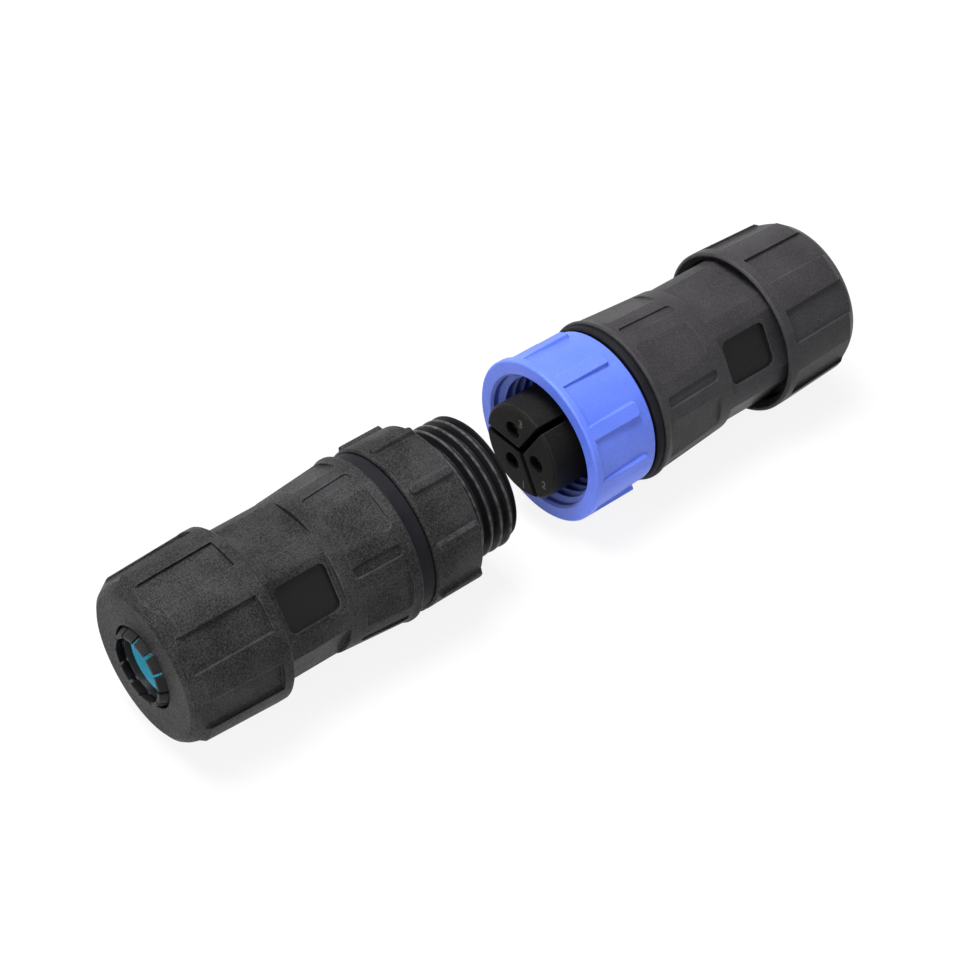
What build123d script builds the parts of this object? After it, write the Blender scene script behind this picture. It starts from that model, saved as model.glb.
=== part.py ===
from build123d import *
import math
import os
from collections import namedtuple

# Waterproof screw-coupled cable connector with three contacts, its two halves apart

os.makedirs("parts", exist_ok=True)

# Overall layout along the connector axis, in millimetres
mouth_gap = 14.2  # open space between the threaded end and the coupling ring
contact_count = 3

# Driving radius of the rear bodies, and the contact inserts within it
body_radius = 13.45
insert_step = 4.75  # walls and threads between the insert and the outside of the body
insert_radius = body_radius - insert_step

# Rear body, measured from its flange face towards the gland
flange_step = 1.35  # flange above the plain rear end of the body
flange_radius = body_radius + flange_step
flange_width = 0.5
flange_chamfer = 0.2
flare_end = 1.3
grip_front_step = 0.35
grip_front_radius = flange_radius - grip_front_step
flat_depth = 1.1
flat_distance = body_radius - flat_depth
facet_count = 6
male_facet_angle = 25.0
female_facet_angle = 31.0
male_grip_length = 13.4
female_grip_length = 16.2
pocket_width = 7.8
pocket_front = 1.7
pocket_rear_margin = 2.9
pocket_front_depth = 0.6
pocket_rear_depth = 0.4
pocket_corner = 1.0
groove_width = 2.0
groove_front = 1.9
groove_rear_margin = 2.6
groove_depth = 0.4
groove_corner = 0.7
recess_length = 9.6
recess_width = 8.0
recess_depth = 0.6
recess_corner = 1.2
recess_margin = 0.8
wire_space_radius = insert_radius
seat_cone_length = 2.0
mouth_clearance = 0.2

# Gland thread between the nut and the rear body
flat_ledge = 0.05  # thread below the wrench flats
gland_thread_radius = flat_distance - flat_ledge
gland_thread_length = 8.5
gland_thread_clearance = 0.1
gland_wall = 1.9
skirt_clearance = 0.15
tighten_travel = 1.0
stop_clearance = 0.1

# Gland nut, measured from the rim that faces the body
nut_skirt_wall = 1.55
nut_rim_radius = body_radius + skirt_clearance + nut_skirt_wall
nut_shoulder_step = 0.55
nut_shoulder_radius = nut_rim_radius - nut_shoulder_step
nut_face_step = 1.7
nut_face_radius = nut_shoulder_radius - nut_face_step
nut_length = 17.7
male_nut_station = 25.4  # rim of the nut from the flange of its rear body
female_nut_station = 28.3
male_nut_pocket_angle = 2.0
female_nut_pocket_angle = 12.0
nut_shoulder_length = 2.6
nut_rim_chamfer = 0.3
nut_rim_land = 0.3
nut_mouth_depth = 1.5
nut_face_chamfer = 0.45
nut_skirt_depth = 4.6
nut_bore_depth = 13.2
nut_lip_length = 0.5
nut_lip_chamfer = 0.4
nut_pocket_count = 8
nut_pocket_width = 6.2
nut_pocket_depth = 0.95  # at its deep end near the rim
nut_pocket_floor = nut_rim_radius - nut_pocket_depth
nut_pocket_fall = 0.6
nut_pocket_margin = 1.9

# Slotted clamping claw and cable seal
claw_overhang = 1.1  # finger tips past the face of the nut
claw_radius = gland_thread_radius - gland_wall - mouth_clearance
claw_wall = 1.8
claw_base_length = 5.2
nut_lip_step = 3.0
cable_hole_radius = claw_radius - nut_lip_step
claw_tip_gap = 1.1
claw_tip_radius = cable_hole_radius - claw_tip_gap
claw_tip_wall = 0.6
claw_clearance = 0.3
finger_count = 12
finger_slit = 0.6
seal_bore_step = 1.4
seal_bore_radius = claw_tip_radius - seal_bore_step
seal_flare = 0.6
seal_mouth_radius = seal_bore_radius + seal_flare
seal_length = 10.4
seal_recess = 0.3
seal_clearance = 0.15
seal_funnel_length = 2.8

# Contact inserts
insert_tail_step = 0.7
insert_tail_radius = insert_radius + insert_tail_step
insert_clearance = 0.1
insert_front_chamfer = 0.4
insert_overhang = 3.9  # female insert past the open face of the ring
insert_slot_width = 1.3
insert_slot_depth = 8.4
contact_circle_radius = 4.0
contact_angle = 60.0
contact_opening_radius = 1.65
contact_opening_depth = 1.2
barrier_width = 0.8
barrier_margin = 0.5
barrier_radius = insert_radius - barrier_margin
barrier_length = 7.3
male_nose_length = 1.2
plugged_face_gap = 0.4

# Contacts and terminal screws
pin_radius = 1.15
pin_reach = 7.8
pin_tip_chamfer = 0.45
pin_fit = 0.05
barrel_radius = 2.1
barrel_length = 11.0
barrel_clearance = 0.05
barrel_recess = 1.2
wire_hole_radius = 1.35
wire_hole_depth = 8.0
socket_tube_radius = 1.75
socket_tube_bore_depth = 9.5
socket_tube_slit = 0.4
socket_tube_slit_length = 6.5
screw_radius = 1.2
screw_offset = 2.0
screw_length = 2.6
screw_wire_gap = 0.1
screw_clearance = 0.05
screw_window_radius = 1.5
screw_slot_width = 0.4
screw_slot_depth = 0.6

# Threaded tail that joins the front of each half to its rear body
tail_bore = insert_tail_radius + insert_clearance
tail_wall = 1.0
tail_radius = tail_bore + tail_wall
tail_length = 5.0
tail_clearance = 0.05
insert_space_depth = 10.4

# Front shell of the male half, measured from the flange face towards the thread
gasket_width = 3.0
gasket_step = 0.85
gasket_radius = flange_radius - gasket_step
gasket_chamfer = 0.3
gasket_clearance = 0.05
hub_wall = 1.2
hub_radius = tail_radius + hub_wall
collar_length = 9.5
collar_rear_step = 0.35
collar_rear_radius = flange_radius - collar_rear_step
collar_taper = 0.15
collar_front_radius = collar_rear_radius - collar_taper
collar_chamfer = 0.3
collar_bar_count = 9
collar_bar_angle = 37.0
collar_bar_height = 0.8
collar_bar_radius = collar_front_radius + collar_bar_height
collar_bar_width = 1.2
collar_bar_corner = 0.5
collar_bar_depth = 1.0
collar_bar_slope = 25.0
collar_bar_length = 8.0
collar_bar_margin = 0.5
neck_length = 0.5

# Coupling thread
thread_pitch = 2.0
socket_clearance = 0.35
socket_radius = insert_radius + socket_clearance
socket_wall = 1.6
thread_core_radius = socket_radius + socket_wall
thread_depth = 1.15
thread_crest_radius = thread_core_radius + thread_depth
thread_crest_width = 0.3
thread_flank_angle = 30.0
thread_length = 8.9
thread_lead_in = 0.6
thread_run_out = 0.8
thread_shift = 0.8  # moves both threads together along the axis
thread_radial_clearance = 0.2
thread_root_overlap = 0.2

# Coupling ring, measured from its open face towards the female body
ring_length = 13.8
ring_rear_step = 0.8
ring_rear_radius = flange_radius - ring_rear_step
ring_taper = 0.5
ring_front_radius = ring_rear_radius + ring_taper
ring_rim_step = 0.4
ring_rim_radius = ring_front_radius + ring_rim_step
ring_rim_width = 1.3
ring_rim_slope = 0.3
ring_rear_wall = 2.0
ring_thread_start = 1.2
ring_thread_length = 7.6
ring_bar_count = 9
ring_bar_angle = 22.0
ring_bar_height = 0.85
ring_bar_radius = ring_rear_radius + ring_bar_height
ring_bar_width = 2.4
ring_bar_corner = 0.5
ring_bar_depth = 1.0
ring_bar_slope = 12.0
ring_bar_start = 1.2
ring_bar_length = 10.2
ring_edge_chamfer = 0.25
ring_mouth_chamfer = 0.45
ring_play = 0.3

# Female sleeve, gasket and face seal
ring_running_clearance = 0.2
ring_bore = tail_radius + ring_running_clearance
sleeve_flange_step = 0.6
sleeve_flange_radius = ring_bore + sleeve_flange_step
sleeve_flange_width = 1.6
flat_gasket_width = 1.5
flat_gasket_step = 0.5
flat_gasket_radius = flange_radius - flat_gasket_step
ring_gap = 0.4
face_seal_width = 1.0
face_seal_step = 0.1
face_seal_radius = sleeve_flange_radius - face_seal_step
face_seal_gap = 0.1
face_seal_chamfer = 0.15

# What differs between the two halves: outward is the side of the gland along X
Half = namedtuple("Half", "name outward grip_length nut_station facet_angle pocket_angle")
male = Half(
    "male", -1, male_grip_length, male_nut_station, male_facet_angle, male_nut_pocket_angle
)
female = Half(
    "female", 1, female_grip_length, female_nut_station, female_facet_angle, female_nut_pocket_angle
)

# Stations along the axis, from the middle of the overall length
axis_height = nut_rim_radius
male_front_length = gasket_width + collar_length + neck_length + thread_length
female_front_length = ring_length + ring_gap + flat_gasket_width
male_back_length = male_nut_station + nut_length + claw_overhang
female_back_length = female_nut_station + nut_length + claw_overhang
front_length = male_front_length + mouth_gap + female_front_length
overall_length = male_back_length + front_length + female_back_length
flange_x = {
    "male": male_back_length - overall_length / 2,
    "female": overall_length / 2 - female_back_length,
}
thread_end_x = flange_x["male"] + male_front_length
thread_start_x = thread_end_x - thread_length
thread_origin_x = thread_start_x - thread_pitch + thread_shift
ring_front_x = thread_end_x + mouth_gap
ring_rear_x = ring_front_x + ring_length
ring_wall_x = ring_rear_x - ring_rear_wall
sleeve_front_x = ring_wall_x - ring_play - sleeve_flange_width
face_seal_x = sleeve_front_x - face_seal_width
mating_travel = face_seal_x - thread_end_x - face_seal_gap
insert_rear_x = {
    "male": flange_x["male"] - insert_space_depth + stop_clearance,
    "female": flange_x["female"] + insert_space_depth - stop_clearance,
}
insert_face_x = {
    "male": ring_front_x - insert_overhang - mating_travel - plugged_face_gap,
    "female": ring_front_x - insert_overhang,
}
insert_step_x = {
    "male": insert_face_x["male"] - male_nose_length,
    "female": ring_rear_x,
}

# Radii that follow from a fit
nose_bore = insert_radius + insert_clearance
ring_thread_radius = thread_crest_radius + thread_radial_clearance
ring_crest_radius = thread_core_radius + thread_radial_clearance
tube_bore = socket_tube_radius + barrel_clearance
barrel_bore = barrel_radius + barrel_clearance

axis_line = Axis((0, 0, axis_height), (1, 0, 0))


def axial_plane(x, outward, angle=90.0):
    """Plane through the axis: local x runs along it, local y is the radius at that angle."""
    turn = math.radians(angle)
    along = Vector(outward, 0, 0)
    radial = Vector(0, math.cos(turn), math.sin(turn))
    return Plane(origin=(x, 0, axis_height), x_dir=along, z_dir=along.cross(radial))


def radial_plane(x, radius, angle):
    """Plane tangent to a cylinder round the axis, with its normal pointing outward."""
    turn = math.radians(angle)
    radial = Vector(0, math.cos(turn), math.sin(turn))
    origin = Vector(x, 0, axis_height) + radial * radius
    return Plane(origin=origin, x_dir=(1, 0, 0), z_dir=radial)


def cross_plane(x):
    """Plane square to the axis, centred on it, with angles counted from +Y towards +Z."""
    return Plane(origin=(x, 0, axis_height), x_dir=(0, 1, 0), z_dir=(1, 0, 0))


def turned(plane, points, mode=Mode.ADD):
    """Turn a closed outline of (distance along the axis, radius) points round the axis."""
    with BuildSketch(plane) as profile:
        with BuildLine():
            Polyline(*points, close=True)
        make_face()
    revolve(profile.sketch, axis=axis_line, mode=mode)


def radial_cut(plane, points, width):
    """Cut an outline drawn beside the axis, half the width to each side of its plane."""
    with BuildSketch(plane) as profile:
        with BuildLine():
            Polyline(*points, close=True)
        make_face()
    extrude(profile.sketch, amount=width / 2, both=True, mode=Mode.SUBTRACT)


def sloped_plane(plane, start, end):
    """Plane on a line drawn beside the axis, with its normal pointing away from the axis."""
    rise = Vector(end[0] - start[0], end[1] - start[1], 0).normalized()
    along = plane.x_dir * rise.X + plane.y_dir * rise.Y
    middle = plane.from_local_coords(((start[0] + end[0]) / 2, (start[1] + end[1]) / 2, 0))
    return Plane(origin=middle, x_dir=along, z_dir=plane.z_dir.cross(along))


def evenly(count, first_angle):
    """Angles of a pattern round the axis."""
    return [first_angle + i * 360 / count for i in range(count)]


def ridge_width(radius):
    """Axial width of the coupling thread's outer ridge at a radius."""
    flank = math.tan(math.radians(thread_flank_angle))
    return thread_crest_width + 2 * (thread_crest_radius - radius) * flank


def save(part, name):
    """Label a finished piece and write it."""
    part.label = name
    export_step(part, f"parts/{name}.step")


def make_gland_nut(half):
    """Tapered nut with flat-floored grip pockets and a lip round the cable hole."""
    rim_x = flange_x[half.name] + half.outward * half.nut_station
    shoulder = nut_length - nut_shoulder_length
    edge = nut_face_chamfer
    edge_radius = nut_face_radius + edge * nut_face_step / nut_shoulder_length
    thread_radius = gland_thread_radius + gland_thread_clearance
    skirt_radius = body_radius + skirt_clearance
    lip = nut_length - nut_lip_length
    cone_end = lip - nut_lip_chamfer
    outline = [
        (nut_mouth_depth, skirt_radius),
        (0, nut_rim_radius - nut_rim_chamfer - nut_rim_land),
        (0, nut_rim_radius - nut_rim_chamfer),
        (nut_rim_chamfer, nut_rim_radius),
        (nut_pocket_margin, nut_rim_radius),
        (shoulder, nut_shoulder_radius),
        (nut_length - edge, edge_radius),
        (nut_length, nut_face_radius - edge),
        (nut_length, cable_hole_radius),
        (lip, cable_hole_radius),
        (cone_end, cable_hole_radius + nut_lip_chamfer),
        (nut_bore_depth, claw_radius + claw_clearance),
        (nut_bore_depth, thread_radius),
        (nut_skirt_depth, thread_radius),
        (nut_skirt_depth, skirt_radius),
    ]
    with BuildPart() as nut:
        turned(axial_plane(rim_x, half.outward), outline)
        pocket = [
            (nut_pocket_margin, nut_pocket_floor),
            (nut_length, nut_pocket_floor - nut_pocket_fall),
            (nut_length, nut_rim_radius + 1),
            (nut_pocket_margin, nut_rim_radius + 1),
        ]
        for angle in evenly(nut_pocket_count, half.pocket_angle):
            radial_cut(axial_plane(rim_x, half.outward, angle), pocket, nut_pocket_width)
    save(nut.part, f"{half.name}_gland_nut")


def cone_radius(distance):
    """Inner cone of the gland nut, as a radius at a distance from the rim."""
    cone_end = nut_length - nut_lip_length - nut_lip_chamfer
    wide = claw_radius + claw_clearance
    narrow = cable_hole_radius + nut_lip_chamfer
    return wide + (narrow - wide) * (distance - nut_bore_depth) / (cone_end - nut_bore_depth)


def make_clamp_claw(half):
    """Ring of fingers that the nut's cone closes on the seal."""
    rim_x = flange_x[half.name] + half.outward * half.nut_station
    tip = nut_length + claw_overhang
    knee = nut_length - nut_lip_length - nut_lip_chamfer
    base = nut_bore_depth - claw_base_length
    knee_radius = cone_radius(knee) - 1.8 * claw_clearance
    inner_radius = claw_radius - claw_wall
    outline = [
        (base, inner_radius),
        (base, claw_radius),
        (nut_bore_depth, claw_radius),
        (knee, knee_radius),
        (tip, claw_tip_radius),
        (tip, claw_tip_radius - claw_tip_wall),
        (knee, knee_radius - claw_tip_wall),
        (nut_bore_depth, inner_radius),
    ]
    with BuildPart() as claw:
        turned(axial_plane(rim_x, half.outward), outline)
        slit = [
            (nut_bore_depth - 0.8, 0.5 * claw_tip_radius),
            (tip + 1, 0.5 * claw_tip_radius),
            (tip + 1, claw_radius + 1),
            (nut_bore_depth - 0.8, claw_radius + 1),
        ]
        for angle in evenly(finger_count, 0):
            radial_cut(axial_plane(rim_x, half.outward, angle), slit, finger_slit)
    save(claw.part, f"{half.name}_clamp_claw")


def make_cable_seal(half):
    """Rubber sleeve with a funnel mouth that the claw squeezes on the cable."""
    rim_x = flange_x[half.name] + half.outward * half.nut_station
    mouth = nut_length - seal_recess
    knee = nut_length - nut_lip_length - nut_lip_chamfer
    inner_radius = claw_radius - claw_wall
    knee_inner = cone_radius(knee) - 1.8 * claw_clearance - claw_tip_wall
    tip = nut_length + claw_overhang
    tip_inner = claw_tip_radius - claw_tip_wall
    mouth_inner = knee_inner + (tip_inner - knee_inner) * (mouth - knee) / (tip - knee)
    outline = [
        (mouth - seal_length, seal_bore_radius),
        (mouth - seal_length, inner_radius - seal_clearance),
        (nut_bore_depth - seal_clearance, inner_radius - seal_clearance),
        (knee, knee_inner - seal_clearance),
        (mouth, mouth_inner - seal_clearance),
        (mouth, seal_mouth_radius),
        (mouth - seal_funnel_length, seal_bore_radius),
    ]
    with BuildPart() as seal:
        turned(axial_plane(rim_x, half.outward), outline)
    save(seal.part, f"{half.name}_cable_seal")


def sunken_panel(plane, start, end, width, corner):
    """Cut a rounded rectangle with its floor on a sloping line drawn beside the axis."""
    with BuildSketch(sloped_plane(plane, start, end)) as panel:
        RectangleRounded(end[0] - start[0], width, corner)
    extrude(panel.sketch, amount=flange_radius - end[1], mode=Mode.SUBTRACT)


def grip_radius(half, distance):
    """Radius of the conical grip at a distance from the flange face."""
    share = (distance - flare_end) / (half.grip_length - flare_end)
    return grip_front_radius + (body_radius - grip_front_radius) * share


def make_rear_body(half):
    """Housing with a conical grip, six wrench flats and the gland thread."""
    face_x = flange_x[half.name]
    shoulder = half.nut_station + nut_skirt_depth - tighten_travel - stop_clearance
    thread_end = shoulder + gland_thread_length
    seat = half.nut_station + nut_bore_depth - claw_base_length - tighten_travel - mouth_clearance
    mouth_radius = claw_radius + mouth_clearance
    joint_bore = tail_radius + tail_clearance
    joint_depth = tail_length + stop_clearance
    outline = [
        (0, joint_bore),
        (0, flange_radius - flange_chamfer),
        (flange_chamfer, flange_radius),
        (flange_width, flange_radius),
        (flare_end, grip_front_radius),
        (half.grip_length, body_radius),
        (shoulder, body_radius),
        (shoulder, gland_thread_radius),
        (thread_end, gland_thread_radius),
        (thread_end, mouth_radius),
        (seat, mouth_radius),
        (seat - seat_cone_length, wire_space_radius),
        (insert_space_depth, wire_space_radius),
        (insert_space_depth, tail_bore),
        (joint_depth, tail_bore),
        (joint_depth, joint_bore),
    ]
    flat = [
        (half.grip_length, flat_distance),
        (shoulder + 1, flat_distance),
        (shoulder + 1, flange_radius + 1),
        (half.grip_length, flange_radius + 1),
    ]
    pocket_rear = half.grip_length - pocket_rear_margin
    pocket_start = (pocket_front, grip_radius(half, pocket_front) - pocket_front_depth)
    pocket_end = (pocket_rear, grip_radius(half, pocket_rear) - pocket_rear_depth)
    groove_rear = half.grip_length - groove_rear_margin
    groove_start = (groove_front, grip_radius(half, groove_front) - groove_depth)
    groove_end = (groove_rear, grip_radius(half, groove_rear) - groove_depth)
    recess_x = face_x + half.outward * (half.grip_length + recess_margin + recess_length / 2)
    with BuildPart() as body:
        turned(axial_plane(face_x, half.outward), outline)
        facets = evenly(facet_count, half.facet_angle)
        for angle in facets:
            facet = axial_plane(face_x, half.outward, angle)
            between = axial_plane(face_x, half.outward, angle + 180 / facet_count)
            radial_cut(facet, flat, 2 * body_radius)
            sunken_panel(facet, groove_start, groove_end, groove_width, groove_corner)
            sunken_panel(between, pocket_start, pocket_end, pocket_width, pocket_corner)
        with BuildSketch(radial_plane(recess_x, flat_distance, facets[2])) as recess:
            RectangleRounded(recess_length, recess_width, recess_corner)
        extrude(recess.sketch, amount=-recess_depth, mode=Mode.SUBTRACT)
    save(body.part, f"{half.name}_rear_body")


def add_bars(start_x, length, radius, width, corner, depth, slope, angles):
    """Raised grip bars with sloping sides and rounded corners."""
    for angle in angles:
        with BuildSketch(radial_plane(start_x + length / 2, radius, angle)) as bar:
            RectangleRounded(length, width, corner)
        extrude(bar.sketch, amount=-depth, taper=-slope)


def helical_ridge(start_x, turns, root_radius, top_radius, root_width, top_width):
    """Ridge of the coupling thread, right-handed along +X."""
    with BuildLine() as path:
        Helix(
            pitch=thread_pitch,
            height=turns * thread_pitch,
            radius=root_radius,
            center=(start_x, 0, axis_height),
            direction=(1, 0, 0),
        )
    start = path.line @ 0
    inward = Vector(0, -start.Y, axis_height - start.Z).normalized()
    height = root_radius - top_radius
    with BuildSketch(Plane(origin=start, x_dir=inward, z_dir=path.line % 0)) as section:
        with BuildLine():
            Polyline(
                (0, -root_width / 2),
                (0, root_width / 2),
                (height, top_width / 2),
                (height, -top_width / 2),
                close=True,
            )
        make_face()
    sweep(section.sketch, path=path.line, is_frenet=True)


def thread_turns(length):
    """Turns that cover a length, with one to spare at each end."""
    return math.ceil(length / thread_pitch) + 2


def make_outer_thread():
    """Ridge of the male thread, with a run-out at the collar and a lead-in at the end."""
    root = thread_core_radius - thread_root_overlap
    below = root - thread_root_overlap
    above = thread_crest_radius + thread_root_overlap
    outline = [
        (0, below),
        (0, root),
        (thread_run_out, above),
        (thread_length - thread_lead_in - thread_root_overlap, above),
        (thread_length, thread_crest_radius - thread_lead_in),
        (thread_length, below),
    ]
    with BuildPart() as thread:
        helical_ridge(
            thread_origin_x,
            thread_turns(thread_length),
            root,
            thread_crest_radius,
            ridge_width(root),
            thread_crest_width,
        )
        turned(axial_plane(thread_start_x, 1), outline, Mode.INTERSECT)
    return thread.part


def make_inner_thread():
    """Ridge inside the coupling ring, half a pitch away from the male one."""
    root = ring_thread_radius + thread_root_overlap
    above = root + thread_root_overlap
    first_x = ring_front_x + ring_thread_start
    skipped = math.floor((first_x - thread_origin_x) / thread_pitch) - 1
    below = ring_crest_radius - thread_root_overlap
    outline = [
        (0, above),
        (0, ring_thread_radius),
        (thread_run_out, below),
        (ring_thread_length - thread_run_out, below),
        (ring_thread_length, ring_thread_radius),
        (ring_thread_length, above),
    ]
    with BuildPart() as thread:
        helical_ridge(
            thread_origin_x + (skipped + 0.5) * thread_pitch,
            thread_turns(ring_thread_length),
            root,
            ring_crest_radius,
            thread_pitch - ridge_width(root - thread_radial_clearance),
            thread_pitch - ridge_width(ring_crest_radius - thread_radial_clearance),
        )
        turned(axial_plane(first_x, 1), outline, Mode.INTERSECT)
    return thread.part


def make_male_front_shell():
    """Collar, coupling thread and contact socket in one moulding."""
    base_x = flange_x["male"]
    collar_end = gasket_width + collar_length
    step = insert_step_x["male"] - base_x
    outline = [
        (-tail_length, tail_bore),
        (-tail_length, tail_radius),
        (0, tail_radius),
        (0, hub_radius),
        (gasket_width, hub_radius),
        (gasket_width, collar_rear_radius - collar_chamfer),
        (gasket_width + collar_chamfer, collar_rear_radius),
        (collar_end - collar_chamfer, collar_front_radius),
        (collar_end, collar_front_radius - collar_chamfer),
        (collar_end, thread_core_radius),
        (male_front_length, thread_core_radius),
        (male_front_length, socket_radius),
        (step, socket_radius),
        (step, tail_bore),
    ]
    thread = make_outer_thread()
    with BuildPart() as shell:
        turned(axial_plane(base_x, 1), outline)
        bar_x = base_x + collar_end - collar_bar_margin - collar_bar_length
        add_bars(
            bar_x,
            collar_bar_length,
            collar_bar_radius,
            collar_bar_width,
            collar_bar_corner,
            collar_bar_depth,
            collar_bar_slope,
            evenly(collar_bar_count, collar_bar_angle),
        )
        add(thread)
    save(shell.part, "male_front_shell")


def make_coupling_ring():
    """Ribbed ring that turns on the female half and pulls the male thread in."""
    slope_end = ring_rim_width + ring_rim_slope
    wall = ring_length - ring_rear_wall
    outline = [
        (0, ring_thread_radius + ring_mouth_chamfer),
        (0, ring_rim_radius - ring_edge_chamfer),
        (ring_edge_chamfer, ring_rim_radius),
        (ring_rim_width, ring_rim_radius),
        (slope_end, ring_front_radius),
        (ring_length - ring_edge_chamfer, ring_rear_radius),
        (ring_length, ring_rear_radius - ring_edge_chamfer),
        (ring_length, ring_bore),
        (wall, ring_bore),
        (wall, ring_thread_radius),
        (ring_mouth_chamfer, ring_thread_radius),
    ]
    thread = make_inner_thread()
    with BuildPart() as ring:
        turned(axial_plane(ring_front_x, 1), outline)
        add_bars(
            ring_front_x + ring_bar_start,
            ring_bar_length,
            ring_bar_radius,
            ring_bar_width,
            ring_bar_corner,
            ring_bar_depth,
            ring_bar_slope,
            evenly(ring_bar_count, ring_bar_angle),
        )
        add(thread)
    save(ring.part, "coupling_ring")


def make_female_front_sleeve():
    """Sleeve that carries the ring and the contact insert."""
    base_x = flange_x["female"]
    flange_rear = base_x - ring_wall_x + ring_play
    flange_front = flange_rear + sleeve_flange_width
    step = base_x - insert_step_x["female"]
    outline = [
        (-tail_length, tail_bore),
        (-tail_length, tail_radius),
        (flange_rear, tail_radius),
        (flange_rear, sleeve_flange_radius),
        (flange_front, sleeve_flange_radius),
        (flange_front, nose_bore),
        (step, nose_bore),
        (step, tail_bore),
    ]
    with BuildPart() as sleeve:
        turned(axial_plane(base_x, -1), outline)
    save(sleeve.part, "female_front_sleeve")


def make_gasket(name, start_x, width, inner_radius, outer_radius, edge):
    """Flat rubber ring with softened outer edges."""
    outline = [
        (0, inner_radius),
        (0, outer_radius - edge),
        (edge, outer_radius),
        (width - edge, outer_radius),
        (width, outer_radius - edge),
        (width, inner_radius),
    ]
    with BuildPart() as gasket:
        turned(axial_plane(start_x, 1), outline)
    save(gasket.part, name)


def cut_contact_holes(start_x, length, radius):
    """Round holes for all contacts, from a station towards the other end of the insert."""
    with BuildSketch(cross_plane(start_x)) as holes:
        with PolarLocations(contact_circle_radius, contact_count, contact_angle):
            Circle(radius)
    extrude(holes.sketch, amount=length, mode=Mode.SUBTRACT)


def cut_screw_windows(half):
    """Radial holes over the terminal screws."""
    x = screw_station(half)
    for angle in evenly(contact_count, contact_angle):
        with BuildSketch(radial_plane(x, contact_circle_radius, angle)) as window:
            Circle(screw_window_radius)
        extrude(window.sketch, amount=insert_tail_radius, mode=Mode.SUBTRACT)


def screw_station(half):
    """Place of the terminal screws along the axis."""
    return insert_rear_x[half.name] - half.outward * (barrel_recess + screw_offset)


def make_insert(half, nose_radius):
    """Insulating body round the contacts, with a stepped tail."""
    rear_x = insert_rear_x[half.name]
    length = abs(insert_face_x[half.name] - rear_x)
    step = abs(insert_step_x[half.name] - rear_x) - insert_clearance
    inward = -half.outward
    barrel_depth = barrel_recess + barrel_length + insert_clearance
    outline = [
        (0, 0),
        (0, insert_tail_radius),
        (step, insert_tail_radius),
        (step, nose_radius),
        (length - insert_front_chamfer, nose_radius),
        (length, nose_radius - insert_front_chamfer),
        (length, 0),
    ]
    blade_angle = contact_angle + 180 / contact_count
    with BuildPart() as insert:
        turned(axial_plane(rear_x, inward), outline)
        cut_contact_holes(rear_x, inward * barrel_depth, barrel_bore)
        cut_screw_windows(half)
        if half is male:
            cut_contact_holes(rear_x, inward * length, pin_radius + pin_fit)
            with BuildSketch(cross_plane(insert_face_x["male"])) as barrier:
                with PolarLocations(barrier_radius / 2, contact_count, blade_angle):
                    Rectangle(barrier_radius, barrier_width)
                Circle(barrier_width / 2)
            extrude(barrier.sketch, amount=barrier_length)
        else:
            face_x = insert_face_x["female"]
            cut_contact_holes(rear_x, inward * (length - contact_opening_depth), tube_bore)
            cut_contact_holes(rear_x, inward * length, contact_opening_radius)
            with BuildSketch(cross_plane(face_x)) as slots:
                with PolarLocations(nose_radius / 2, contact_count, blade_angle):
                    Rectangle(nose_radius + 1, insert_slot_width)
            extrude(slots.sketch, amount=insert_slot_depth, mode=Mode.SUBTRACT)
    save(insert.part, f"{half.name}_insert")


def contact_plane(x, angle):
    """Plane square to the axis, centred on one contact."""
    centre = radial_plane(x, contact_circle_radius, angle).origin
    return Plane(origin=centre, x_dir=(0, 1, 0), z_dir=(1, 0, 0))


def make_contact(half, number, angle):
    """Turned contact with a wire barrel: a pin, or a slit tube that takes the pin."""
    inward = -half.outward
    rear_x = insert_rear_x[half.name] + inward * barrel_recess
    front_x = rear_x + inward * barrel_length
    with BuildPart() as contact:
        with BuildSketch(contact_plane(rear_x, angle)) as barrel:
            Circle(barrel_radius)
        extrude(barrel.sketch, amount=inward * barrel_length)
        if half is male:
            tip_x = insert_face_x["male"] + pin_reach
            with BuildSketch(contact_plane(front_x, angle)) as pin:
                Circle(pin_radius)
            extrude(pin.sketch, amount=tip_x - front_x)
            tip = contact.edges().filter_by(GeomType.CIRCLE).sort_by(Axis.X)[-1]
            chamfer(tip, pin_tip_chamfer)
        else:
            tip_x = insert_face_x["female"] + contact_opening_depth
            with BuildSketch(contact_plane(tip_x, angle)) as tube:
                Circle(socket_tube_radius)
            extrude(tube.sketch, amount=front_x - tip_x)
            with BuildSketch(contact_plane(tip_x, angle)) as bore:
                Circle(pin_radius + pin_fit)
            extrude(bore.sketch, amount=socket_tube_bore_depth, mode=Mode.SUBTRACT)
            with BuildSketch(contact_plane(tip_x, angle)) as slit:
                Rectangle(2 * socket_tube_radius + 1, socket_tube_slit, rotation=angle)
            extrude(slit.sketch, amount=socket_tube_slit_length, mode=Mode.SUBTRACT)
        with BuildSketch(contact_plane(rear_x, angle)) as wire_hole:
            Circle(wire_hole_radius)
        extrude(wire_hole.sketch, amount=inward * wire_hole_depth, mode=Mode.SUBTRACT)
        x = screw_station(half)
        with BuildSketch(radial_plane(x, contact_circle_radius, angle)) as screw_hole:
            Circle(screw_radius + screw_clearance)
        extrude(screw_hole.sketch, amount=2 * barrel_radius, mode=Mode.SUBTRACT)
    kind = "pin" if half is male else "socket_contact"
    save(contact.part, f"{half.name}_{kind}_{number}")


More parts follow.
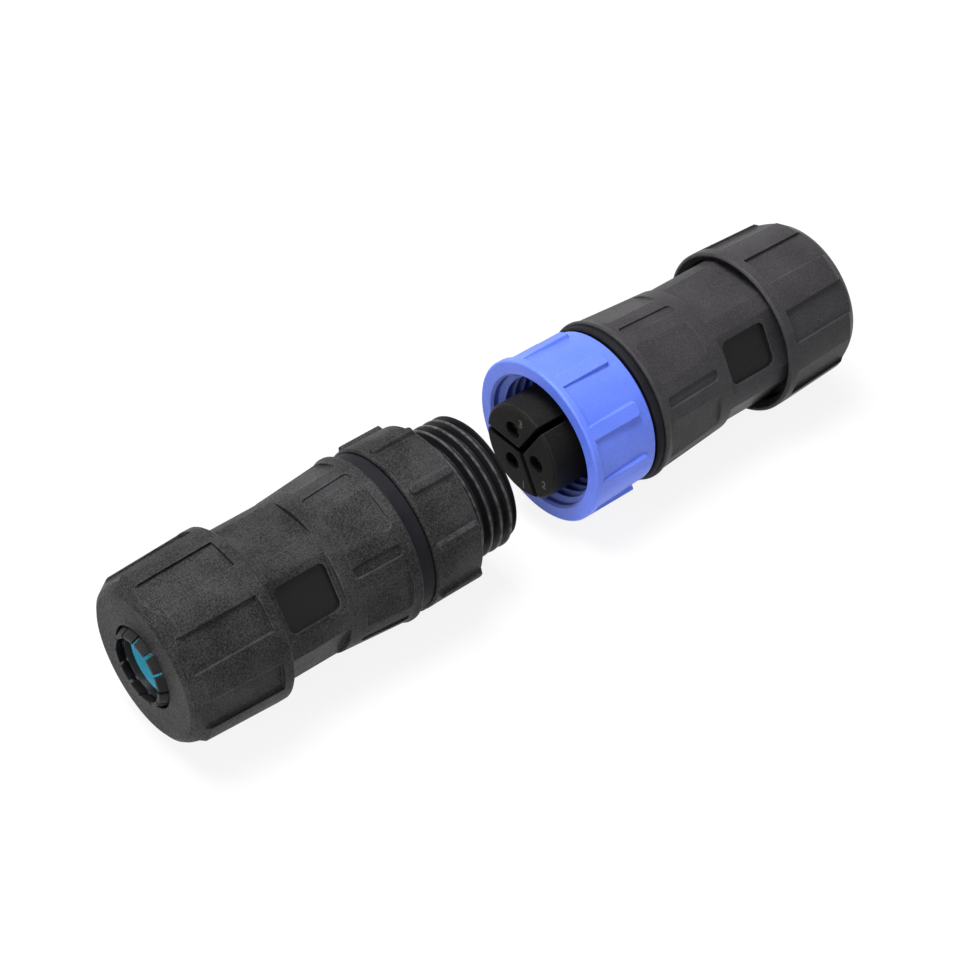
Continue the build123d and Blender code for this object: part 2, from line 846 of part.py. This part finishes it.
def make_terminal_screw(half, number, angle):
    """Slotted screw that clamps the wire in its barrel."""
    x = screw_station(half)
    inner = contact_circle_radius + wire_hole_radius + screw_wire_gap
    with BuildPart() as screw:
        with BuildSketch(radial_plane(x, inner, angle)) as shank:
            Circle(screw_radius)
        extrude(shank.sketch, amount=screw_length)
        with BuildSketch(radial_plane(x, inner + screw_length, angle)) as slot:
            Rectangle(2 * screw_radius + 1, screw_slot_width)
        extrude(slot.sketch, amount=-screw_slot_depth, mode=Mode.SUBTRACT)
    save(screw.part, f"{half.name}_terminal_screw_{number}")


for side in (male, female):
    make_gland_nut(side)
    make_clamp_claw(side)
    make_cable_seal(side)
    make_rear_body(side)
    for number, angle in enumerate(evenly(contact_count, contact_angle), start=1):
        make_contact(side, number, angle)
        make_terminal_screw(side, number, angle)

make_male_front_shell()
make_coupling_ring()
make_female_front_sleeve()
make_insert(male, socket_radius - insert_clearance)
make_insert(female, insert_radius)
make_gasket(
    "male_body_gasket",
    flange_x["male"],
    gasket_width,
    hub_radius + gasket_clearance,
    gasket_radius,
    gasket_chamfer,
)
make_gasket(
    "female_body_gasket",
    flange_x["female"] - flat_gasket_width,
    flat_gasket_width,
    tail_radius + gasket_clearance,
    flat_gasket_radius,
    gasket_chamfer,
)
make_gasket(
    "face_seal",
    face_seal_x,
    face_seal_width,
    insert_radius + gasket_clearance,
    face_seal_radius,
    face_seal_chamfer,
)
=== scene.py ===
import math

import bpy
from mathutils import Matrix, Vector


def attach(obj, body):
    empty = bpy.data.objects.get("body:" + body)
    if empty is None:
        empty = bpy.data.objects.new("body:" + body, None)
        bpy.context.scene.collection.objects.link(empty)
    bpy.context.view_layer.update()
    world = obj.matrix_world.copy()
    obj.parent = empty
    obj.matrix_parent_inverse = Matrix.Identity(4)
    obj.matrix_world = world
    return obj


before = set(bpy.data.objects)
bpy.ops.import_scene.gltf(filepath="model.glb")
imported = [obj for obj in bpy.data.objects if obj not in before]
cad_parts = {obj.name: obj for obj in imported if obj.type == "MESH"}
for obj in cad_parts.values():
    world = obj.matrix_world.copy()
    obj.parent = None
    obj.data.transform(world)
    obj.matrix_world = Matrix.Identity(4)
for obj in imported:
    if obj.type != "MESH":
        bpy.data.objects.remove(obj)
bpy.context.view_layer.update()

MM = 0.001
AXIS_Z = 15.15 * MM
WHITE = (1.0, 1.0, 1.0, 1.0)

# Places on the parts that the finishes follow
THREAD_X = -14.7 * MM
CREST_RADIUS = 11.62 * MM
RECESS_FLOOR = 12.2 * MM
RECESS_HALF_WIDTH = 4.02 * MM
RECESS_HALF_LENGTH = 4.82 * MM
NEAR_RECESS_X, NEAR_RECESS_ANGLE = -46.35 * MM, 145.0
FAR_RECESS_X, FAR_RECESS_ANGLE = 46.25 * MM, 151.0
SEAL_FACE_RADIUS = 5.08 * MM
INSERT_FACE_X = 4.85 * MM

# Camera, placed from the rim of the near nut
SENSOR_MM = 36.0
LENS_MM = 93.75
CAMERA_AIM = Vector((-52.75 * MM, 0.0, AXIS_Z))
CAMERA_OFFSET = Vector((-0.1421, -0.2298, 0.2814))
CAMERA_RIGHT = Vector((0.7690, -0.6392, 0.0))
CAMERA_UP = Vector((0.4391, 0.5284, 0.7266))

# Grain of the moulded plastic: noise scales, and the share of each noise in the colour
GRAIN_SCALE = 2300.0
BLOTCH_SCALE = 110.0
SPECK_TO_GRAIN = 1.7
BLOTCH_SHARE = 0.45
SMOOTH_GAIN = 0.16  # how much less rough a smooth part is

# Contact numbers
NUMBER_HEIGHT = 2.1 * MM
NUMBER_RELIEF = 0.03 * MM
NUMBER_STROKE = 0.07 * MM

# Studio
FLOOR_HALF = 3.0
FLOOR_DROP = 0.2 * MM
FLOOR_GLOW = 0.88
WORLD_LIGHT = 0.15
LAMP_SIZE = 0.4
LAMP_AIM = Vector((0.0, 0.0, 0.015))


def make_camera():
    """Camera at the photograph's angle."""
    data = bpy.data.cameras.new("camera")
    data.sensor_width = SENSOR_MM
    data.lens = LENS_MM
    data.clip_start = 0.01
    data.clip_end = 10.0
    camera = bpy.data.objects.new("camera", data)
    bpy.context.scene.collection.objects.link(camera)
    back = CAMERA_RIGHT.cross(CAMERA_UP)
    up = back.cross(CAMERA_RIGHT)
    turn = Matrix((CAMERA_RIGHT.normalized(), up.normalized(), back.normalized())).transposed()
    camera.matrix_world = Matrix.Translation(CAMERA_AIM + CAMERA_OFFSET) @ turn.to_4x4()
    bpy.context.scene.camera = camera


class Shade:
    """One material's node tree, with short ways to add nodes to it."""

    def __init__(self, name):
        self.material = bpy.data.materials.new(name)
        self.material.use_nodes = True
        self.nodes = self.material.node_tree.nodes
        self.links = self.material.node_tree.links
        self.shader = self.nodes["Principled BSDF"]
        self.coords = self.nodes.new("ShaderNodeTexCoord").outputs["Object"]

    def drive(self, name, socket):
        """Feed an input of the shader."""
        self.links.new(socket, self.shader.inputs[name])

    def math(self, operation, first, second=0.0):
        node = self.nodes.new("ShaderNodeMath")
        node.operation = operation
        for slot, operand in zip(node.inputs, (first, second)):
            if isinstance(operand, (int, float)):
                slot.default_value = operand
            else:
                self.links.new(operand, slot)
        return node.outputs[0]

    def dot(self, vector, way):
        """Dot product of a vector socket with another one, or with a fixed direction."""
        node = self.nodes.new("ShaderNodeVectorMath")
        node.operation = "DOT_PRODUCT"
        self.links.new(vector, node.inputs[0])
        if isinstance(way, tuple):
            node.inputs[1].default_value = way
        else:
            self.links.new(way, node.inputs[1])
        return node.outputs["Value"]

    def noise(self, scale, detail=3.0, roughness=0.5):
        node = self.nodes.new("ShaderNodeTexNoise")
        node.inputs["Scale"].default_value = scale
        node.inputs["Detail"].default_value = detail
        node.inputs["Roughness"].default_value = roughness
        self.links.new(self.coords, node.inputs["Vector"])
        return node.outputs["Fac"]

    def ramp(self, value, stops):
        node = self.nodes.new("ShaderNodeValToRGB")
        for element, (position, colour) in zip(node.color_ramp.elements, stops):
            element.position, element.color = position, (*colour, 1.0)
        self.links.new(value, node.inputs["Fac"])
        return node.outputs["Color"]

    def span(self, value, low, high, to_low, to_high):
        node = self.nodes.new("ShaderNodeMapRange")
        node.inputs["From Min"].default_value = low
        node.inputs["From Max"].default_value = high
        node.inputs["To Min"].default_value = to_low
        node.inputs["To Max"].default_value = to_high
        self.links.new(value, node.inputs["Value"])
        return node.outputs["Result"]

    def mix(self, mask, below, above):
        """Colour socket below where the mask is 0, the colour above where it is 1."""
        node = self.nodes.new("ShaderNodeMix")
        node.data_type = "RGBA"
        self.links.new(mask, node.inputs["Factor"])
        self.links.new(below, node.inputs[6])
        node.inputs[7].default_value = (*above, 1.0)
        return node.outputs[2]

    def along(self, way):
        """How far a point lies from the connector axis in a direction square to it, or along X."""
        return self.math("SUBTRACT", self.dot(self.coords, way), way[2] * AXIS_Z)

    def radius(self):
        across, upward = self.along((0.0, 1.0, 0.0)), self.along((0.0, 0.0, 1.0))
        squares = [self.math("MULTIPLY", side, side) for side in (across, upward)]
        return self.math("SQRT", self.math("ADD", *squares))

    def in_front_of(self, x):
        return self.math("GREATER_THAN", self.along((1.0, 0.0, 0.0)), x)

    def edges(self, width):
        """Normals softened over the edges, and a mask that is 1 on them."""
        node = self.nodes.new("ShaderNodeBevel")
        node.samples = 6
        node.inputs["Radius"].default_value = width
        plain = self.nodes.new("ShaderNodeNewGeometry").outputs["Normal"]
        turn = self.dot(node.outputs["Normal"], plain)
        return node.outputs["Normal"], self.span(turn, 0.999, 0.93, 0.0, 1.0)

    def bump(self, height, strength, distance, normal):
        node = self.nodes.new("ShaderNodeBump")
        node.inputs["Strength"].default_value = strength
        node.inputs["Distance"].default_value = distance
        self.links.new(height, node.inputs["Height"])
        self.links.new(normal, node.inputs["Normal"])
        self.drive("Normal", node.outputs["Normal"])


def moulded(name, dark, light, rough, grain=GRAIN_SCALE, depth=0.00014, strength=0.85,
            wear_and_highlight=(0.085, 0.081, 0.086), specular=0.11, smooth_part=None):
    """Injection-moulded plastic: spark-eroded grain, faint blotches, softened edges painted lighter in
    patches, partly as rubbing and partly as painted highlight.

    smooth_part gives a mask of what is smooth and how dark it is there.
    """
    shade = Shade(name)
    blotches = shade.noise(BLOTCH_SCALE, 4.0, 0.6)
    fine = shade.noise(grain, 3.0, 0.65)
    speck = shade.noise(grain * SPECK_TO_GRAIN, 1.0, 0.5)
    mottle = shade.math("ADD", shade.math("MULTIPLY", blotches, BLOTCH_SHARE),
                        shade.math("MULTIPLY", speck, 1.0 - BLOTCH_SHARE))
    colour = shade.ramp(mottle, [(0.38, dark), (0.64, light)])
    # Edges painted lighter in patches: partly rubbing, partly painted highlight, on hollow edges as well as
    # outer ones.
    normal, edge_mask = shade.edges(0.3 * MM)
    scuffs_and_highlight = shade.math("MULTIPLY", edge_mask, shade.span(blotches, 0.35, 0.75, 0.15, 0.8))
    colour = shade.mix(scuffs_and_highlight, colour, wear_and_highlight)
    roughness = shade.span(fine, 0.35, 0.65, *rough)
    height = fine
    if smooth_part is not None:
        mask, floor = smooth_part(shade)
        colour = shade.mix(mask, colour, floor)
        height = shade.math("MULTIPLY", fine, shade.math("SUBTRACT", 1.0, mask))
        roughness = shade.math("SUBTRACT", roughness, shade.math("MULTIPLY", mask, SMOOTH_GAIN))
    shade.drive("Base Color", colour)
    shade.drive("Roughness", roughness)
    shade.bump(height, strength, depth, normal)
    shade.shader.inputs["Specular IOR Level"].default_value = specular
    return shade


def recess_at(x, angle):
    """Mask of the sunken plate on a wrench flat: its floor is smooth and near black."""
    way = (0.0, math.cos(math.radians(angle)), math.sin(math.radians(angle)))

    def mask(shade):
        outward = shade.along(way)
        sideways = shade.math("ABSOLUTE", shade.along((0.0, -way[2], way[1])))
        lengthways = shade.math("ABSOLUTE", shade.math("SUBTRACT", shade.along((1.0, 0.0, 0.0)), x))
        inside = shade.math("MULTIPLY", shade.math("LESS_THAN", outward, RECESS_FLOOR),
                            shade.math("GREATER_THAN", outward, 0.9 * RECESS_FLOOR))
        for distance, limit in ((sideways, RECESS_HALF_WIDTH), (lengthways, RECESS_HALF_LENGTH)):
            inside = shade.math("MULTIPLY", inside, shade.math("LESS_THAN", distance, limit))
        return inside, (0.007, 0.0065, 0.0075)

    return mask


def thread_finish(shade):
    """The screw thread in front of the collar came smooth from its slides."""
    return shade.in_front_of(THREAD_X), (0.008, 0.008, 0.009)


def threaded_shell():
    """Grained collar, and a smooth glossy thread whose crests are painted lighter in speckles."""
    shade = moulded("black_grained_shell", *BLACK, (0.42, 0.6), smooth_part=thread_finish)
    # Thread crests painted lighter in speckles.
    crest = shade.math("GREATER_THAN", shade.radius(), CREST_RADIUS)
    crest = shade.math("MULTIPLY", crest, shade.in_front_of(THREAD_X))
    crest_speckle = shade.span(shade.noise(900.0, 2.0), 0.35, 0.65, 0.25, 1.0)
    below = shade.shader.inputs["Base Color"].links[0].from_socket
    shade.drive("Base Color", shade.mix(shade.math("MULTIPLY", crest, crest_speckle), below, (0.085, 0.085, 0.09)))
    return shade


def rubber(name, dark, light, rough, specular, painted_shadow_radius=None):
    """Soft rubber with faint clouds; outside the given radius its colour is near black, a painted shadow."""
    shade = Shade(name)
    clouds = shade.noise(320.0, 3.0)
    colour = shade.ramp(clouds, [(0.35, dark), (0.65, light)])
    if painted_shadow_radius is not None:
        # Painted shadow: near black outside the radius, where the seal lies behind the claw fingers.
        colour = shade.mix(shade.math("GREATER_THAN", shade.radius(), painted_shadow_radius), colour, (0.006, 0.007, 0.008))
    shade.drive("Base Color", colour)
    shade.drive("Roughness", shade.span(clouds, 0.3, 0.7, *rough))
    shade.bump(shade.noise(1800.0, 2.0), 0.3, 0.04 * MM, shade.edges(0.2 * MM)[0])
    shade.shader.inputs["Specular IOR Level"].default_value = specular
    return shade


def metal(name, dark, light, rough):
    """Turned metal with faint turning marks."""
    shade = Shade(name)
    turning = shade.noise(1500.0, 2.0)
    shade.drive("Base Color", shade.ramp(turning, [(0.3, dark), (0.7, light)]))
    shade.drive("Roughness", shade.span(turning, 0.3, 0.7, *rough))
    shade.shader.inputs["Metallic"].default_value = 1.0
    return shade


# Darker and lighter colour of the near half's plastic and of the far half's
BLACK = ((0.004, 0.0037, 0.004), (0.043, 0.041, 0.043))
SATIN = ((0.024, 0.0225, 0.0245), (0.046, 0.0435, 0.0465))

near_nut = moulded("black_grained", *BLACK, (0.42, 0.6))
near_body = moulded("black_grained_plate", *BLACK, (0.42, 0.6),
                    smooth_part=recess_at(NEAR_RECESS_X, NEAR_RECESS_ANGLE))
near_shell = threaded_shell()
far_nut = moulded("black_satin", *SATIN, (0.4, 0.52), depth=0.00006, strength=0.6)
far_body = moulded("black_satin_plate", *SATIN, (0.4, 0.52), depth=0.00006, strength=0.6,
                   smooth_part=recess_at(FAR_RECESS_X, FAR_RECESS_ANGLE))
dark = moulded("dark_satin", (0.007, 0.0066, 0.0064), (0.014, 0.0132, 0.0125), (0.42, 0.55),
               depth=0.00004, strength=0.5, wear_and_highlight=(0.04, 0.039, 0.04), specular=0.05)
claw = moulded("claw_satin", (0.014, 0.0135, 0.014), (0.022, 0.021, 0.022), (0.34, 0.46),
               depth=0.00003, strength=0.4, wear_and_highlight=(0.045, 0.044, 0.046), specular=0.06)
blue = moulded("blue_satin", (0.085, 0.155, 0.70), (0.115, 0.195, 0.80), (0.36, 0.48), grain=2800.0,
               depth=0.00005, strength=0.45, wear_and_highlight=(0.17, 0.28, 0.9), specular=0.4)
gasket = rubber("black_rubber", (0.004, 0.004, 0.006), (0.008, 0.008, 0.011), (0.55, 0.7), 0.12)
# The teal seal is painted near black outside its face radius: painted shadow behind the claw fingers.
teal = rubber("teal_rubber", (0.055, 0.43, 0.60), (0.075, 0.50, 0.68), (0.4, 0.52), 0.4, SEAL_FACE_RADIUS)
# The socket contacts' brass is darker than the pins': painted shade for the deep holes they sit in.
brass_darkened_as_shade = metal("contact_brass", (0.30, 0.21, 0.10), (0.42, 0.31, 0.16), (0.34, 0.48))
pins = metal("pin_brass", (0.62, 0.43, 0.18), (0.78, 0.6, 0.3), (0.22, 0.34))
steel = metal("screw_steel", (0.5, 0.5, 0.5), (0.65, 0.65, 0.66), (0.25, 0.4))
number_finish = moulded("raised_number", (0.09, 0.088, 0.09), (0.13, 0.127, 0.13), (0.4, 0.5), strength=0.2)

# Finish of every node whose name holds the word
looks = {
    "male_gland_nut": near_nut, "male_rear_body": near_body, "male_front_shell": near_shell,
    "female_gland_nut": far_nut, "female_rear_body": far_body, "body_gasket": gasket, "face_seal": gasket,
    "cable_seal": teal, "clamp_claw": claw, "insert": dark, "front_sleeve": dark, "coupling_ring": blue,
    "pin_": pins, "socket_contact": brass_darkened_as_shade, "terminal_screw": steel,
}
for node_name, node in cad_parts.items():
    for word, look in looks.items():
        if word in node_name:
            for place in node.material_slots:
                place.material = look.material


def make_number(text, distance, angle):
    """Contact number on the face of the female insert, upright as the halves lie."""
    curve = bpy.data.curves.new(f"number_{text}", "FONT")
    curve.body = text
    curve.size = NUMBER_HEIGHT
    curve.extrude = NUMBER_RELIEF
    curve.offset = NUMBER_STROKE
    curve.align_x = "CENTER"
    curve.align_y = "CENTER"
    letter = bpy.data.objects.new(f"number_{text}_text", curve)
    bpy.context.scene.collection.objects.link(letter)
    solid = bpy.data.meshes.new_from_object(letter)
    bpy.data.objects.remove(letter)
    number = bpy.data.objects.new(f"insert_number_{text}", solid)
    bpy.context.scene.collection.objects.link(number)
    turn = math.radians(angle)
    place = Vector((INSERT_FACE_X, distance * MM * math.cos(turn), AXIS_Z + distance * MM * math.sin(turn)))
    facing = Matrix(((0.0, 0.0, -1.0), (-1.0, 0.0, 0.0), (0.0, 1.0, 0.0)))
    solid.transform(Matrix.Translation(place) @ facing.to_4x4())
    solid.materials.clear()
    solid.materials.append(number_finish.material)
    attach(number, "female_half")


make_number("3", 6.0, 90.0)
make_number("2", 6.9, 208.0)
make_number("1", 6.9, 262.0)


def shown_white(nodes, links):
    """1 for rays from the camera, off gloss or through glass, which see the plain background."""
    rays = nodes.new("ShaderNodeLightPath").outputs
    total = rays["Is Camera Ray"]
    for kind in ("Is Glossy Ray", "Is Transmission Ray"):
        node = nodes.new("ShaderNodeMath")
        node.operation = "MAXIMUM"
        links.new(total, node.inputs[0])
        links.new(rays[kind], node.inputs[1])
        total = node.outputs[0]
    return total


def blend_shaders(nodes, links, share, below, above, output):
    """Send to the output the shader below where the share is 0 and the one above where it is 1."""
    mix = nodes.new("ShaderNodeMixShader")
    links.new(share, mix.inputs[0])
    links.new(below.outputs[0], mix.inputs[1])
    links.new(above.outputs[0], mix.inputs[2])
    links.new(mix.outputs[0], nodes[output].inputs["Surface"])


def make_floor():
    mesh = bpy.data.meshes.new("floor")
    s = FLOOR_HALF
    mesh.from_pydata([(-s, -s, 0), (s, -s, 0), (s, s, 0), (-s, s, 0)], [], [(0, 1, 2, 3)])
    floor = bpy.data.objects.new("floor", mesh)
    floor.location.z = -FLOOR_DROP
    bpy.context.scene.collection.objects.link(floor)
    shade = Shade("floor_white")
    tone = shade.noise(3.0, 2.0)
    shade.drive("Base Color", shade.ramp(tone, [(0.3, (0.8, 0.8, 0.8)), (0.7, (0.82, 0.82, 0.82))]))
    shade.shader.inputs["Roughness"].default_value = 0.8
    shade.shader.inputs["Specular IOR Level"].default_value = 0.1
    glow = shade.nodes.new("ShaderNodeEmission")
    glow.inputs["Color"].default_value = WHITE
    share = shade.math("MULTIPLY", shown_white(shade.nodes, shade.links), FLOOR_GLOW)
    blend_shaders(shade.nodes, shade.links, share, shade.shader, glow, "Material Output")
    mesh.materials.append(shade.material)


def make_world():
    """Little light on the object, and a white background where it is seen."""
    world = bpy.data.worlds.new("studio")
    bpy.context.scene.world = world
    world.use_nodes = True
    nodes, links = world.node_tree.nodes, world.node_tree.links
    plain, white = nodes["Background"], nodes.new("ShaderNodeBackground")
    for background, strength in ((plain, WORLD_LIGHT), (white, 1.0)):
        background.inputs["Color"].default_value = WHITE
        background.inputs["Strength"].default_value = strength
    blend_shaders(nodes, links, shown_white(nodes, links), plain, white, "World Output")


def make_lamp(name, place, power):
    data = bpy.data.lights.new(name, "AREA")
    data.shape = "RECTANGLE"
    data.size = data.size_y = LAMP_SIZE
    data.energy = power
    lamp = bpy.data.objects.new(name, data)
    bpy.context.scene.collection.objects.link(lamp)
    lamp.location = place
    lamp.rotation_euler = (LAMP_AIM - Vector(place)).to_track_quat("-Z", "Y").to_euler()


make_camera()
make_floor()
make_world()
make_lamp("key", (-0.1, 0.15, 0.8), 11.0)
make_lamp("fill", (-0.75, -0.15, 0.3), 2.8)
make_lamp("side", (0.35, -0.7, 0.3), 0.4)
bpy.context.scene.view_settings.view_transform = "Standard"
